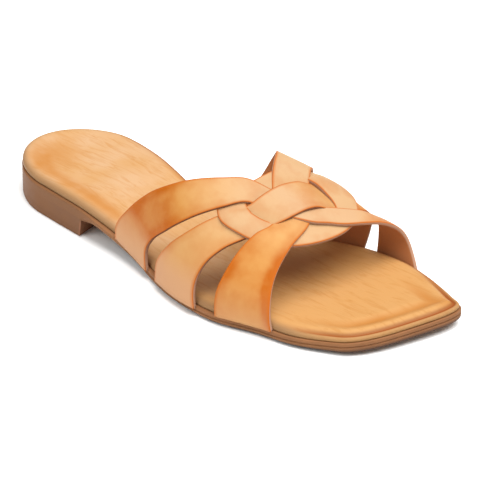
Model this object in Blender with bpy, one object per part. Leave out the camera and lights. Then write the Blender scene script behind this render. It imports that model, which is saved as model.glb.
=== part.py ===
"""Flat slide sandal, right foot: outsole, heel block, footbed and a woven strap upper.

Tables are in millimetres. Along runs from the heel's back to the toe, across from the
middle of the heel, plus to the medial side, and up from the floor.
"""

import bpy
import numpy as np

MM = 0.001
LENGTH = 250.0

# Sole outline: share of the length, medial edge, lateral edge
OUTLINE = np.array([
    (0.00, 30.0, -28.0),
    (0.16, 30.5, -33.2),
    (0.30, 24.0, -36.5),
    (0.44, 19.5, -39.6),
    (0.56, 24.5, -48.5),
    (0.68, 38.0, -51.0),
    (0.80, 40.5, -45.5),
    (0.90, 35.0, -39.5),
    (1.00, 31.0, -24.0),
])
HEEL_ROUND, HEEL_POWER = 35.0, 2.0
TOE_ROUND, TOE_POWER = 16.0, 2.5
TOE_SLANT, SLANT_FROM, SKEW_TURNS = 0.17, 0.60, 4
ROWS, COLUMNS = 52, 6
WELD_DIGITS = 5

# Side view of the sole
SOLE_THICK = 4.9
HEEL_LIFT = 10.2
SEAT_END, BALL_START = 58.0, 126.0
SPRING_FROM, TOE_SPRING = 188.0, 3.3
GAP = 0.3

# Outsole edge, floor side first: inset, extra inset ahead of the heel, height
OUTSOLE_EDGE = np.array([
    (0.4, 0.8, 0.0),
    (0.1, 0.3, 0.5),
    (0.0, 0.0, 1.2),
    (0.0, 0.0, 2.5),
    (0.0, 0.6, 2.8),
    (0.0, 0.6, 3.1),
    (0.0, 0.0, 3.4),
    (0.0, 0.0, 4.5),
    (0.4, 0.0, SOLE_THICK),
])
EDGE_FADE = (62.0, 95.0)

# Heel block, floor side first: inset, share of the height
HEEL_EDGE = np.array([
    (0.5, 0.00),
    (0.1, 0.05),
    (0.0, 0.15),
    (0.0, 1.00),
])
BREAST_LATERAL, BREAST_MEDIAL = 66.5, 68.5
BREAST_HOLLOW, HOLLOW_POWER = 4.5, 4
HEEL_ROWS = 18

# Footbed: how far it stands in from the sole's edge at the heel, under the straps, at the toe
SEAT_INSET, STRAP_ZONE_INSET, TOE_INSET = 0.8, 2.5, 1.2
ZONE_START, ZONE_END = (60.0, 90.0), (214.0, 234.0)
# Footbed edge, sole side first: inset and height along the sides, inset and height at the toe
FOOTBED_EDGE = np.array([
    (0.5, 0.0, 0.5, 0.0),
    (0.0, 0.5, 0.0, 0.4),
    (0.0, 1.9, 0.0, 1.5),
    (0.4, 2.8, 0.5, 2.1),
    (1.0, 3.2, 3.0, 2.2),
    (1.7, 3.4, 3.5, 1.9),
    (2.6, 3.5, 4.0, 3.0),
    (4.5, 3.6, 5.5, 3.6),
])
TOE_LIP = (200.0, 226.0)
SEAT_HOLLOW, HOLLOW_FADE = 0.8, (40.0, 110.0)

# Last under the straps: along, height of the ridge above the outsole, its shift to the medial side
INSTEP = np.array([
    (85.0, 63.0, 8.0),
    (125.0, 59.5, 8.5),
    (165.0, 41.3, 10.0),
    (215.0, 17.0, 13.0),
])
SECTION_POWER, RIDGE_POWER = 2.4, 1.5
STRAP_INSET, STRAP_THICK, LAYER_STEP = 2.2, 2.0, 1.2
ARC_STEPS, ARC_END = 40, np.pi / 2 - 1e-6
NORMAL_STEP = 0.01
TO_EDGE = 1000.0

# Straps as laid on the last. Along and across of the rear edge, along and across of the
# front edge, layer of each edge. Across is the arc from the ridge; TO_EDGE runs down to
# the sole.
REAR_LATERAL = np.array([
    (91.5, -TO_EDGE, 115.5, -TO_EDGE, 0.0, 0.0),
    (93.0, -71.0, 116.5, -71.0, 0.0, 0.0),
    (101.5, -58.5, 122.0, -63.5, 0.0, 0.0),
    (114.0, -44.5, 133.0, -53.0, 0.0, 0.0),
    (130.0, -31.5, 145.0, -40.5, 0.2, 0.2),
    (146.0, -18.0, 155.5, -29.0, 1.0, 1.0),
    (154.0, -10.5, 161.0, -21.5, 1.0, 1.0),
    (164.0, -8.0, 167.0, -19.0, 1.6, 1.6),
    (174.0, -7.0, 176.0, -16.5, 2.0, 2.0),
    (181.0, -5.0, 185.0, -11.0, 2.0, 2.0),
    (183.5, 4.0, 191.0, -2.0, 1.4, 1.6),
    (187.5, 14.0, 195.0, 9.5, 0.2, 1.2),
    (190.0, 25.0, 199.0, 22.5, -1.2, 0.7),
    (190.5, 39.0, 207.0, 34.0, 0.0, 1.2),
    (189.5, TO_EDGE, 214.5, TO_EDGE, 0.0, 0.0),
])
REAR_MEDIAL = np.array([
    (110.0, TO_EDGE, 140.0, TO_EDGE, 0.0, 0.0),
    (120.0, 57.0, 145.0, 57.0, 0.0, 0.0),
    (129.5, 45.0, 151.0, 46.0, 0.0, 0.0),
    (138.5, 29.0, 157.5, 32.0, 0.6, 1.2),
    (150.5, 11.0, 163.5, 18.5, 1.0, 1.7),
    (157.5, 2.5, 168.0, 11.5, 1.0, 1.0),
    (164.0, -6.0, 175.0, 2.0, 0.8, 0.8),
    (170.0, -14.5, 181.5, -5.0, 0.8, 0.8),
    (175.0, -22.5, 186.5, -13.0, 1.0, 1.0),
    (173.7, -33.0, 188.3, -29.5, 1.0, 1.0),
    (172.2, -43.0, 190.5, -41.0, 0.4, 0.4),
    (171.0, -54.0, 193.5, -49.0, 0.0, 0.0),
    (169.5, -63.0, 197.0, -57.0, 0.0, 0.0),
    (170.0, -TO_EDGE, 200.0, -TO_EDGE, 0.0, 0.0),
])
MIDDLE = np.array([
    (126.0, -TO_EDGE, 153.5, -TO_EDGE, 0.0, 0.0),
    (127.5, -70.0, 154.0, -67.0, 0.0, 0.0),
    (135.5, -57.5, 158.0, -56.0, 0.0, 0.0),
    (145.0, -45.5, 164.0, -45.5, 0.0, 0.0),
    (153.5, -34.0, 171.0, -35.0, 0.0, 0.0),
    (160.0, -25.0, 176.8, -24.5, 0.5, 0.5),
    (165.6, -13.0, 179.0, -15.0, 2.8, 2.8),
    (166.5, -1.0, 181.5, -2.0, 3.0, 3.0),
    (169.0, 9.5, 184.5, 7.0, 1.5, 1.0),
    (170.0, 20.0, 187.0, 18.0, 0.2, -1.2),
    (166.0, 33.0, 187.5, 31.0, 0.0, -1.2),
    (159.0, 46.0, 184.5, 43.0, 0.0, 0.0),
    (151.0, TO_EDGE, 180.5, TO_EDGE, 0.0, 0.0),
])
REAR_EDGE, FRONT_EDGE = (0, 1, 4), (2, 3, 5)
STRAP_ROWS, STRAP_COLUMNS = 58, 4

# Ring woven through the straps: a band on the last, round in front and square at the rear
RING_ALONG, RING_ACROSS, RING_HALF_WIDE = 168.5, -5.3, 31.0
RING_FRONT, FRONT_POWER = 26.5, 2.0
RING_REAR, REAR_POWER = 13.5, 4.0
RING_ROWS = 72
# Angle round the ring from its front towards the medial side, layer, width of the band
RING = np.array([
    (-180.0, 0.0, 8.0),
    (-150.0, 0.0, 8.0),
    (-128.0, 0.6, 9.0),
    (-110.0, 1.0, 11.5),
    (-75.0, 1.0, 12.0),
    (-45.0, 0.0, 12.0),
    (0.0, 0.0, 11.0),
    (35.0, -0.6, 10.0),
    (60.0, -0.2, 13.0),
    (75.0, 1.4, 14.5),
    (88.0, 2.7, 15.0),
    (100.0, 2.4, 14.0),
    (115.0, 0.8, 11.0),
    (145.0, 0.0, 8.0),
    (180.0, 0.0, 8.0),
])

# Colour and roughness
STRAP_LEATHER = (0.70, 0.36, 0.14), 0.50
FOOTBED_LEATHER = (0.72, 0.42, 0.18), 0.55
SOLE_RUBBER = (0.27, 0.16, 0.09), 0.60
HEEL_RUBBER = (0.24, 0.13, 0.08), 0.55
METALLIC = 0.0


def smooth(stations, values, at):
    """A cubic through the rows of a table, with slopes taken from the rows on either side."""
    slopes = np.gradient(values, stations)
    i = np.clip(np.searchsorted(stations, at) - 1, 0, len(stations) - 2)
    span = stations[i + 1] - stations[i]
    t = np.clip((at - stations[i]) / span, 0, 1)
    return (
        (2 * t**3 - 3 * t**2 + 1) * values[i]
        + (t**3 - 2 * t**2 + t) * span * slopes[i]
        + (3 * t**2 - 2 * t**3) * values[i + 1]
        + (t**3 - t**2) * span * slopes[i + 1]
    )


def ramp(x, start, end):
    t = np.clip((x - start) / (end - start), 0, 1)
    return t * t * (3 - 2 * t)


def rise(x):
    """Height of the outsole's top: heel seat, waist, flat forefoot, toe spring."""
    spring = np.clip((x - SPRING_FROM) / (LENGTH - SPRING_FROM), 0, 1)
    return SOLE_THICK + HEEL_LIFT * (1 - ramp(x, SEAT_END, BALL_START)) + TOE_SPRING * spring**2


def sides(x):
    """Lateral and medial edge of the sole, before its ends are rounded."""
    stations = OUTLINE[:, 0] * LENGTH
    return smooth(stations, OUTLINE[:, 2], x), smooth(stations, OUTLINE[:, 1], x)


def slant(x, y):
    """How far the toe's skew moves a point forward."""
    toe_middle = (OUTLINE[-1, 1] + OUTLINE[-1, 2]) / 2
    return TOE_SLANT * (y - toe_middle) * ramp(x / LENGTH, SLANT_FROM, 1)


def outline(x):
    """Lateral and medial points of the sole at these stations, with both ends rounded."""
    heel = np.clip(1 - x / HEEL_ROUND, 0, 1)
    toe = np.clip((x - LENGTH + TOE_ROUND) / TOE_ROUND, 0, 1)
    ends = (1 - heel**HEEL_POWER) ** (1 / HEEL_POWER) * (1 - toe**TOE_POWER) ** (1 / TOE_POWER)
    middle = sum(sides(x)) / 2
    pair = []
    for side in sides(x):
        y = middle + (side - middle) * ends
        pair.append(np.stack([x + slant(x, y), y], axis=1))
    return pair


def sides_at(along):
    """Lateral and medial edge of the sole at a place along it, the toe's skew undone."""
    pair = []
    for k in range(2):
        x = along
        for _ in range(SKEW_TURNS):
            x = along - slant(x, sides(x)[k])
        pair.append(sides(x)[k])
    return pair


def inset(lateral, medial, inset_at):
    """Both sides moved into the outline along its normal by inset_at(along)."""
    pair = []
    for side, other, turn in ((lateral, medial, 1), (medial, lateral, -1)):
        tangent = np.gradient(side, axis=0)
        if np.allclose(side[0], other[0]):
            tangent[0] = side[1] - other[1]
        if np.allclose(side[-1], other[-1]):
            tangent[-1] = other[-2] - side[-2]
        tangent /= np.linalg.norm(tangent, axis=1)[:, None]
        inward = turn * np.stack([-tangent[:, 1], tangent[:, 0]], axis=1)
        pair.append(side + inward * inset_at(side[:, 0])[:, None])
    return pair


def across_grid(lateral, medial):
    share = np.linspace(0, 1, COLUMNS + 1)[None, :, None]
    return lateral[:, None] * (1 - share) + medial[:, None] * share


def with_height(plan, height):
    return np.concatenate([plan, height[..., None]], axis=2)


def border(rows, columns):
    """Row and column numbers once round the edge of a grid."""
    i, j = np.arange(rows), np.arange(columns)
    row = [0 * j, i[1:], 0 * j[1:] + rows - 1, i[-2:0:-1]]
    column = [j, 0 * i[1:] + columns - 1, j[-2::-1], 0 * i[-2:0:-1]]
    return np.concatenate(row), np.concatenate(column)


def stacked(levels):
    """Points and quads of a solid from grids laid one above the other: the first and the last
    grid are its floor and roof, and every grid's border is a step of its wall."""
    rows, columns = levels[0].shape[:2]
    points = np.concatenate([level.reshape(-1, 3) for level in levels])
    numbers = np.arange(len(points)).reshape(len(levels), rows, columns)
    top = numbers[-1]
    roof = np.stack([top[:-1, :-1], top[1:, :-1], top[1:, 1:], top[:-1, 1:]], axis=-1)
    floor = roof[..., ::-1] - top[0, 0]
    around = numbers[(slice(None), *border(rows, columns))]
    beside = np.roll(around, -1, axis=1)
    wall = np.stack([around[:-1], around[1:], beside[1:], beside[:-1]], axis=-1)
    return points, np.concatenate([part.reshape(-1, 4) for part in (floor, roof, wall)])


def solid(name, levels, look):
    """One closed mesh: points that coincide become one, and faces met from both sides go."""
    points, faces = stacked(levels)
    points, index = np.unique(np.round(points, WELD_DIGITS), axis=0, return_inverse=True)
    polygons = {}
    for face in index.reshape(-1)[faces].tolist():
        corners = [v for k, v in enumerate(face) if v != face[k - 1]]
        if len(set(corners)) > 2:
            polygons.setdefault(frozenset(corners), []).append(corners)
    mesh = bpy.data.meshes.new(name)
    outer = [same[0] for same in polygons.values() if len(same) == 1]
    mesh.from_pydata((points * MM).tolist(), [], outer)
    mesh.polygons.foreach_set("use_smooth", np.ones(len(mesh.polygons), bool))
    material = bpy.data.materials.new(name)
    material.use_nodes = True
    shader = material.node_tree.nodes["Principled BSDF"]
    colour, roughness = look
    shader.inputs["Base Color"].default_value = (*colour, 1)
    shader.inputs["Roughness"].default_value = roughness
    shader.inputs["Metallic"].default_value = METALLIC
    mesh.materials.append(material)
    thing = bpy.data.objects.new(name, mesh)
    bpy.context.scene.collection.objects.link(thing)
    return thing


def stations(count):
    return LENGTH * (1 - np.cos(np.linspace(0, np.pi, count + 1))) / 2


def make_outsole():
    lateral, medial = outline(stations(ROWS))
    levels = []
    for edge, ahead, height in OUTSOLE_EDGE:
        plan = across_grid(*inset(lateral, medial, lambda x: edge + ahead * ramp(x, *EDGE_FADE)))
        levels.append(with_height(plan, rise(plan[..., 0]) - SOLE_THICK + height))
    return solid("outsole", levels, SOLE_RUBBER)


def make_heel():
    share = 1 - np.cos(np.linspace(0, np.pi / 2, HEEL_ROWS + 1))
    levels = []
    for edge, height in HEEL_EDGE:
        lateral = outline(share * (BREAST_LATERAL - edge))[0]
        medial = outline(share * (BREAST_MEDIAL - edge))[1]
        plan = across_grid(*inset(lateral, medial, lambda x: edge + 0 * x))
        side = np.linspace(-1, 1, COLUMNS + 1)
        plan[..., 0] -= BREAST_HOLLOW * share[:, None] ** HOLLOW_POWER * (1 - side**2)
        top = rise(plan[..., 0]) - SOLE_THICK - GAP
        levels.append(with_height(plan, top * height))
    return solid("heel", levels, HEEL_RUBBER)


def make_footbed():
    def stands_in(x):
        under = (STRAP_ZONE_INSET - SEAT_INSET) * ramp(x, *ZONE_START)
        return SEAT_INSET + under - (STRAP_ZONE_INSET - TOE_INSET) * ramp(x, *ZONE_END)

    lateral, medial = outline(stations(ROWS))
    side = np.linspace(-1, 1, COLUMNS + 1)
    levels = []
    for edge, height, toe_edge, toe_height in FOOTBED_EDGE:
        def steps_in(x):
            return stands_in(x) + edge + (toe_edge - edge) * ramp(x, *TOE_LIP)

        plan = across_grid(*inset(lateral, medial, steps_in))
        x = plan[..., 0]
        up = height + (toe_height - height) * ramp(x, *TOE_LIP)
        levels.append(with_height(plan, rise(x) + GAP + up))
    hollow = SEAT_HOLLOW * (1 - side**2) * (1 - ramp(levels[-1][..., 0], *HOLLOW_FADE))
    levels[-1][..., 2] -= hollow
    return solid("footbed", levels, FOOTBED_LEATHER)


def section(along, angle):
    """A point of the last: a rounded arch from edge to edge, its top shifted to the medial side."""
    lateral, medial = sides_at(along)
    half = (medial - lateral) / 2 - STRAP_INSET
    swing, stand = np.sin(angle), np.cos(angle)
    y = (medial + lateral) / 2 + half * np.sign(swing) * np.abs(swing) ** (2 / SECTION_POWER)
    y = y + smooth(INSTEP[:, 0], INSTEP[:, 2], along) * stand**RIDGE_POWER
    height = smooth(INSTEP[:, 0], INSTEP[:, 1], along) * stand ** (2 / SECTION_POWER)
    return np.stack([along + 0 * y, y, rise(along) + GAP + height], axis=-1)


def arch(along, medial):
    """Points from the ridge down one side of the last, and the arc's length to each."""
    angle = np.where(medial, 1, -1)[:, None] * np.linspace(0, ARC_END, ARC_STEPS + 1)
    points = section(along[:, None] + 0 * angle, angle)
    steps = np.linalg.norm(np.diff(points, axis=1), axis=2)
    return points, np.concatenate([0 * steps[:, :1], np.cumsum(steps, axis=1)], axis=1)


def on_last(along, share):
    """Points of the last at a share of the arc from the ridge, -1 lateral edge to 1 medial edge."""
    points, arc = arch(along, share > 0)
    reach = np.abs(share) * arc[:, -1]
    row = np.arange(len(along))
    k = np.clip((arc <= reach[:, None]).sum(axis=1) - 1, 0, ARC_STEPS - 1)
    part = (reach - arc[row, k]) / (arc[row, k + 1] - arc[row, k])
    return points[row, k] + part[:, None] * (points[row, k + 1] - points[row, k])


def laid(along, across, lift):
    """Points a lift above the last, along its normal."""
    shape, step = along.shape, NORMAL_STEP
    along, across, lift = along.ravel(), across.ravel(), lift.ravel()
    share = np.clip(across / arch(along, across > 0)[1][:, -1], -1, 1)
    forward = on_last(along + step, share) - on_last(along - step, share)
    medial, lateral = np.minimum(share + step, 1), np.maximum(share - step, -1)
    normal = np.cross(forward, on_last(along, medial) - on_last(along, lateral))
    normal /= np.linalg.norm(normal, axis=1)[:, None]
    return (on_last(along, share) + lift[:, None] * normal).reshape(*shape, 3)


def band(name, rear, front):
    """A strip of leather between two edges on the last: along, across and layer of each."""
    share = np.linspace(0, 1, STRAP_COLUMNS + 1)
    along, across, layer = (
        a[:, None] * (1 - share) + b[:, None] * share for a, b in zip(rear, front)
    )
    under = LAYER_STEP * layer
    levels = [laid(along, across, under), laid(along, across, under + STRAP_THICK)]
    return solid(name, [level[:, ::-1] for level in levels], STRAP_LEATHER)


def strap(name, table):
    table = table.copy()
    for column in (0, 2):
        reach = arch(table[:, column], table[:, column + 1] > 0)[1][:, -1]
        table[:, column + 1] = np.clip(table[:, column + 1], -reach, reach)
    middle = (table[:, :2] + table[:, 2:4]) / 2
    run = np.concatenate([[0], np.cumsum(np.linalg.norm(np.diff(middle, axis=0), axis=1))])
    at = np.linspace(0, run[-1], STRAP_ROWS + 1)
    columns = [smooth(run, column, at) for column in table.T]
    return band(name, [columns[k] for k in REAR_EDGE], [columns[k] for k in FRONT_EDGE])


def ring(name):
    angle = np.linspace(-np.pi, np.pi, RING_ROWS + 1)
    layer, width = (smooth(np.radians(RING[:, 0]), RING[:, k], angle) for k in (1, 2))
    ahead = np.cos(angle) > 0
    half_long = np.where(ahead, RING_FRONT, RING_REAR)
    power = 2 / np.where(ahead, FRONT_POWER, REAR_POWER)
    front, side = (np.sign(turn) * np.abs(turn) ** power for turn in (np.cos(angle), np.sin(angle)))
    edges = []
    for narrow in (width, 0):
        along = RING_ALONG + (half_long - narrow) * front
        across = RING_ACROSS + (RING_HALF_WIDE - narrow) * side
        edges.append((along, across, layer))
    return band(name, *edges)


def make_upper():
    upper = strap("upper", REAR_LATERAL)
    rear_medial, middle = strap("strap_rear_medial", REAR_MEDIAL), strap("strap_middle", MIDDLE)
    for other in (rear_medial, middle, ring("strap_ring")):
        other.hide_render = True
        other.display_type = "WIRE"
        join = upper.modifiers.new(other.name, "BOOLEAN")
        join.operation = "UNION"
        join.solver = "EXACT"
        join.object = other
    return upper


def centre(things):
    """Puts the origin under the middle of the whole object."""
    corners = np.array([v.co for thing in things for v in thing.data.vertices])
    middle = (corners.min(axis=0) + corners.max(axis=0)) / 2
    for thing in things:
        for v in thing.data.vertices:
            v.co.x -= middle[0]
            v.co.y -= middle[1]


for old in list(bpy.data.objects):
    bpy.data.objects.remove(old)

make_outsole()
make_heel()
make_footbed()
make_upper()
centre(list(bpy.data.objects))
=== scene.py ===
import bmesh
import bpy
import numpy as np
from mathutils import Matrix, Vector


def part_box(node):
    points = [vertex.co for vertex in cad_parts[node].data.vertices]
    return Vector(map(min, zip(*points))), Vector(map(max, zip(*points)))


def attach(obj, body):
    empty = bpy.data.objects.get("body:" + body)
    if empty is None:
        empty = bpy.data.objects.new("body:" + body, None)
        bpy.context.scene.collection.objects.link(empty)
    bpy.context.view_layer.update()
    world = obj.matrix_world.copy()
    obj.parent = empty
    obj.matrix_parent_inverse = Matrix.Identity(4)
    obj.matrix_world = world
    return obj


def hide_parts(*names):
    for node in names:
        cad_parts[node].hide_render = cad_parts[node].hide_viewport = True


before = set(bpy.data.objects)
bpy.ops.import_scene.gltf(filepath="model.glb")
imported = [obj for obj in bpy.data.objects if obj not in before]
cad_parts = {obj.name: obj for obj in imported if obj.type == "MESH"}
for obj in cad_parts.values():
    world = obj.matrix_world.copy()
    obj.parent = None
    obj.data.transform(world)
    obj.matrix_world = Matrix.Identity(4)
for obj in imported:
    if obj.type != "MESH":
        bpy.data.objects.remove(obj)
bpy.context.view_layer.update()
print("frame loaded:", ", ".join(sorted(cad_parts)))

# Lengths are millimetres: along from the back of the heel, across towards the inner side
# of the foot, up from the floor.
mm = 0.001
perMetre = 1 / mm  # over a pattern's size in mm, this gives its repeats in a metre


def curveThrough(stations, values, at):
    # cubic through the rows of a table, slopes from the rows on either side
    slopes = np.gradient(values, stations)
    i = np.clip(np.searchsorted(stations, at) - 1, 0, len(stations) - 2)
    span = stations[i + 1] - stations[i]
    t = np.clip((at - stations[i]) / span, 0, 1)
    return (
        (2 * t**3 - 3 * t**2 + 1) * values[i]
        + (t**3 - 2 * t**2 + t) * span * slopes[i]
        + (3 * t**2 - 2 * t**3) * values[i + 1]
        + (t**3 - t**2) * span * slopes[i + 1]
    )


def ramp(x, start, end):
    # 0 before start, 1 after end, an S curve between them
    t = np.clip((x - start) / (end - start), 0, 1)
    return t * t * (3 - 2 * t)


def runAlong(line):
    # length along a line of points, from its first point to each of them
    steps = np.linalg.norm(np.diff(line, axis=0), axis=1)
    return np.concatenate([[0], np.cumsum(steps)])


def bump(x, middle, half):
    # a round hill of height 1 that falls to 0 at middle +- half
    t = np.clip(np.abs(x - middle) / half, 0, 1)
    return (1 - t * t) ** 2


# The sole's plan and side view
sole = {
    "length": 250.0,
    # share of the length, inner edge, outer edge
    "outline": np.array([
        (0.00, 30.0, -28.0),
        (0.16, 30.5, -33.2),
        (0.30, 24.0, -36.5),
        (0.44, 19.5, -39.6),
        (0.56, 24.5, -48.5),
        (0.68, 38.0, -51.0),
        (0.80, 40.8, -44.9),
        (0.90, 34.8, -40.9),
        (1.00, 26.6, -28.4),
    ]),
    "heelRound": 35.0,  # length of the rounded heel
    "toeRound": 9.5,  # length and squareness of the toe's corners
    "toePower": 3.0,
    "toeSlant": 0.29,  # forward lean of the toe for each mm across, none at toeMiddle
    "toeMiddle": 8.8,
    "slantFrom": 0.60,  # share of the length where the lean starts
    "cornerMm": 8.0,  # normals of the toe are evened over this much edge to either side
    "cornerFrom": (205.0, 228.0),
    "thick": 4.9,
    "heelLift": 10.2,
    "seatEnd": 58.0,
    "ballStart": 126.0,
    "springFrom": 188.0,
    "toeSpring": 3.3,
    "gap": 0.3,  # between the sole's top and the form under the straps
    "corrections": 4,
    "tip": 1.2e-5,  # share of the length that the last row stops short
    "rows": 190,
    "columns": 30,
    "measureRows": 600,
    "edgeRows": 400,
}


def soleTop(x):
    # heel seat, S-shaped waist, level forefoot, toe spring as a parabola
    spring = np.clip((x - sole["springFrom"]) / (sole["length"] - sole["springFrom"]), 0, 1)
    drop = 1 - ramp(x, sole["seatEnd"], sole["ballStart"])
    return sole["thick"] + sole["heelLift"] * drop + sole["toeSpring"] * spring**2


def soleSides(x):
    # outer and inner edge before the ends are rounded, cubics through the outline's rows
    stations = sole["outline"][:, 0] * sole["length"]
    return [curveThrough(stations, sole["outline"][:, k], x) for k in (2, 1)]


def toeSkew(x, y):
    # forward shift that turns the square toe towards the big toe: the slant times the distance
    # across, growing from nothing to its full value at the tip
    grown = ramp(x / sole["length"], sole["slantFrom"], 1)
    return sole["toeSlant"] * (y - sole["toeMiddle"]) * grown


def soleOutline(x):
    # both edges pulled to the middle at the ends: a quarter ellipse at the heel,
    # a squarer one at the toe
    heel = np.clip(1 - x / sole["heelRound"], 0, 1)
    toe = np.clip((x - sole["length"] + sole["toeRound"]) / sole["toeRound"], 0, 1)
    ends = np.sqrt(1 - heel**2) * (1 - toe ** sole["toePower"]) ** (1 / sole["toePower"])
    middle = sum(soleSides(x)) / 2
    sides = [middle + (side - middle) * ends for side in soleSides(x)]
    return [np.stack([x + toeSkew(x, y), y], axis=1) for y in sides]


def sidesAt(along):
    # outer and inner edge at a place along the shoe, the skew undone by repeated correction
    pair = []
    for k in range(2):
        x = along
        for _ in range(sole["corrections"]):
            x = along - toeSkew(x, soleSides(x)[k])
        pair.append(soleSides(x)[k])
    return pair


def evened(side, inward):
    # normals near the toe averaged over some of the edge's length, so that deep insets
    # do not fold at its corners
    run = runAlong(side)
    steps = (inward[1:] + inward[:-1]) / 2 * np.diff(run)[:, None]
    total = np.concatenate([0 * inward[:1], np.cumsum(steps, axis=0)])
    low, high = (
        np.stack([np.interp(run + half, run, column) for column in total.T], axis=1)
        + np.maximum(run + half - run[-1], 0)[:, None] * inward[-1]
        for half in (-sole["cornerMm"], sole["cornerMm"])
    )
    share = ramp(side[:, :1], *sole["cornerFrom"])
    even = inward * (1 - share) + (high - low) / (2 * sole["cornerMm"]) * share
    return even / np.linalg.norm(even, axis=1)[:, None]


def insetSides(outer, inner, insetAt, insetInner=None):
    # each edge moved inwards along its plan normal, the inner one by its own rule where
    # there is one; where the edges meet, the normal points along the shoe
    pair = []
    plans = ((outer, inner, 1, insetAt), (inner, outer, -1, insetInner or insetAt))
    for side, other, turn, rule in plans:
        tangent = np.gradient(side, axis=0)
        if np.allclose(side[0], other[0]):
            tangent[0] = side[1] - other[1]
        if np.allclose(side[-1], other[-1]):
            tangent[-1] = other[-2] - side[-2]
        tangent /= np.linalg.norm(tangent, axis=1)[:, None]
        inward = evened(side, turn * np.stack([-tangent[:, 1], tangent[:, 0]], axis=1))
        pair.append(side + inward * rule(side[:, 0])[:, None])
    return pair


def cosineSteps(count):
    # shares from 0 to 1, closer together at both ends
    return (1 - np.cos(np.linspace(0, np.pi, count + 1))) / 2


def soleStations(count):
    # the last one is a hair short, so that the toe ends in a short straight edge
    return sole["length"] * np.minimum(cosineSteps(count), 1 - sole["tip"])


def acrossGrid(outer, inner, columns):
    # straight lines between the two edges, points closer together near them
    share = cosineSteps(columns)[None, :, None]
    return outer[:, None] * (1 - share) + inner[:, None] * share


def withHeight(plan, height):
    # plan points with a height each
    return np.concatenate([plan, height[..., None]], axis=2)


# Where the shoe's own axes lie in the frame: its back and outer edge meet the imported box
boxLow = np.array(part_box("outsole")[0]) / mm
outermost = soleOutline(soleStations(sole["measureRows"]))[0][:, 1].min()
shift = np.array([boxLow[0], boxLow[1] - outermost, 0.0])


def toWorld(points):
    # the shoe's millimetres to the frame's metres
    return (points + shift) * mm


weld = {"merge": 2e-6, "thin": 1e-7}  # metres: points that become one, edges that go


def makePiece(name, points, faces, material, fields, sharp=None):
    # one mesh from point and face arrays; fields are values per point that the materials read,
    # sharp is the angle in degrees past which an edge isn't smoothed
    mesh = bpy.data.meshes.new(name)
    mesh.from_pydata(toWorld(points).tolist(), [], faces)
    for field, values in fields.items():
        column = mesh.attributes.new(field, "FLOAT", "POINT")
        column.data.foreach_set("value", values.ravel().astype(np.float32))
    work = bmesh.new()
    work.from_mesh(mesh)
    bmesh.ops.remove_doubles(work, verts=work.verts, dist=weld["merge"])
    bmesh.ops.dissolve_degenerate(work, edges=work.edges, dist=weld["thin"])
    work.to_mesh(mesh)
    work.free()
    mesh.shade_smooth()
    if sharp:
        mesh.set_sharp_from_angle(angle=np.radians(sharp))
    mesh.materials.append(material)
    piece = bpy.data.objects.new(name, mesh)
    bpy.context.scene.collection.objects.link(piece)
    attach(piece, "root")
    print("made", name, len(mesh.polygons), "faces")
    return piece


def border(rows, columns):
    # row and column numbers once round the edge of a grid
    i, j = np.arange(rows), np.arange(columns)
    row = [0 * j, i[1:], 0 * j[1:] + rows - 1, i[-2:0:-1]]
    column = [j, 0 * i[1:] + columns - 1, j[-2::-1], 0 * i[-2:0:-1]]
    return np.concatenate(row), np.concatenate(column)


def stackedSolid(levels):
    # grids one above the other: the first is the floor, the last the roof, each border a step
    # of the wall; with each point's share of the steps, and 1 on the floor inside its border
    rows, columns = levels[0].shape[:2]
    flat, steps = rows * columns, len(levels) - 1
    around = border(rows, columns)
    girth = len(around[0])
    roof = np.arange(flat).reshape(rows, columns)
    floor = roof + flat
    rings = 2 * flat + np.arange((steps - 1) * girth).reshape(steps - 1, girth)
    points = [levels[-1].reshape(-1, 3), levels[0].reshape(-1, 3)]
    points += [level[around] for level in levels[1:-1]]
    share = [np.ones(flat), np.zeros(flat)]
    share += [np.full(girth, k / steps) for k in range(1, steps)]
    wall = np.concatenate([floor[around][None], rings, roof[around][None]])
    beside = np.roll(wall, -1, axis=1)
    quads = [
        np.stack([roof[:-1, :-1], roof[1:, :-1], roof[1:, 1:], roof[:-1, 1:]], axis=-1),
        np.stack([floor[:-1, 1:], floor[1:, 1:], floor[1:, :-1], floor[:-1, :-1]], axis=-1),
        np.stack([wall[:-1], wall[1:], beside[1:], beside[:-1]], axis=-1),
    ]
    faces = np.concatenate([quad.reshape(-1, 4) for quad in quads]).tolist()
    inside = np.zeros((rows, columns))
    inside[1:-1, 1:-1] = 1
    tread = np.concatenate([np.zeros(flat), inside.ravel(), np.zeros((steps - 1) * girth)])
    return np.concatenate(points), faces, np.concatenate(share), tread


def linear(code):
    # sRGB hex to linear colour, by the standard's straight start and power curve
    parts = np.array([int(code[k : k + 2], 16) for k in (1, 3, 5)]) / 255
    curved = ((parts + 0.055) / 1.055) ** 2.4
    return (*np.where(parts <= 0.04045, parts / 12.92, curved), 1.0)


def put(tree, kind, settings=None, links=None):
    # adds a node; settings are its properties or sockets, links bring (node, output)
    # to its sockets
    node = tree.nodes.new(kind)
    for key, value in (settings or {}).items():
        if isinstance(key, str) and hasattr(node, key):
            setattr(node, key, value)
        else:
            node.inputs[key].default_value = value
    for key, (source, output) in (links or {}).items():
        tree.links.new(source.outputs[output], node.inputs[key])
    return node


def newMaterial(name):
    # a node material with its tree and its shader
    material = bpy.data.materials.new(name)
    material.use_nodes = True
    return material, material.node_tree, material.node_tree.nodes["Principled BSDF"]


def finishMaterial(tree, shader, colour, relief, surface):
    # colour and relief into the shader, and the values that are the same all over
    tree.links.new(colour.outputs[2], shader.inputs["Base Color"])
    tree.links.new(relief.outputs["Normal"], shader.inputs["Normal"])
    for socket, value in surface.items():
        shader.inputs[socket].default_value = value


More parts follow.
